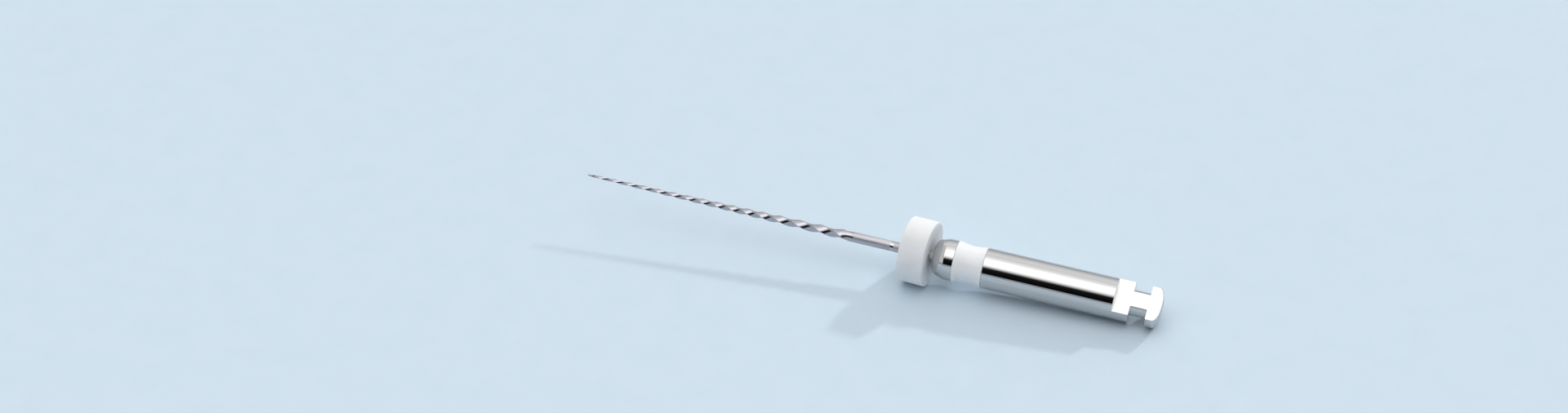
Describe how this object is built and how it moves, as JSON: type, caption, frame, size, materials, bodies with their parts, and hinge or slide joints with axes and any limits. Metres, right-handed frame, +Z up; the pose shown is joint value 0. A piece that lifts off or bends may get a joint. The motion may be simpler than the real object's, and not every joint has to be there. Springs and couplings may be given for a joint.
{
  "type": "endodontic file",
  "caption": "Rotary root-canal file: tapered three-edged fluted part, smooth shaft with a sliding silicone stop, and a waisted metal handle with a latch-type shank.",
  "frame": {"origin": "centre of the bounding box in X and Y, on the surface that the file lies on (z = 0)", "axes": "+X from the tip towards the latch end, +Z up from the surface; the file rests on its stop and on its latch end, so its own axis dips 2.57 degrees below +X; the drive flat faces up, 28 degrees towards -Y"},
  "size_m": [0.0342, 0.0038, 0.0038],
  "materials": {
    "nickel_titanium": "finely ground nickel-titanium, satin with fine lengthwise marks",
    "silicone": "matte white silicone, slightly translucent",
    "handle_metal": "bright turned metal, satin on the cone, the drive flat and the end faces",
    "band_white": "smooth white enamel",
    "adhesive": "cured adhesive"
  },
  "bodies": {
    "file": {"file_blank": "nickel_titanium", "latch_handle": "handle_metal", "size_band": "band_white", "tang_adhesive": "adhesive"},
    "stop": {"silicone_stop": "silicone"}
  },
  "joints": [
    {"name": "stop_slide", "type": "slide", "parent": "file", "child": "stop", "axis": [-0.999, 0, 0.0448], "range_m": [0, 0.0093]}
  ]
}
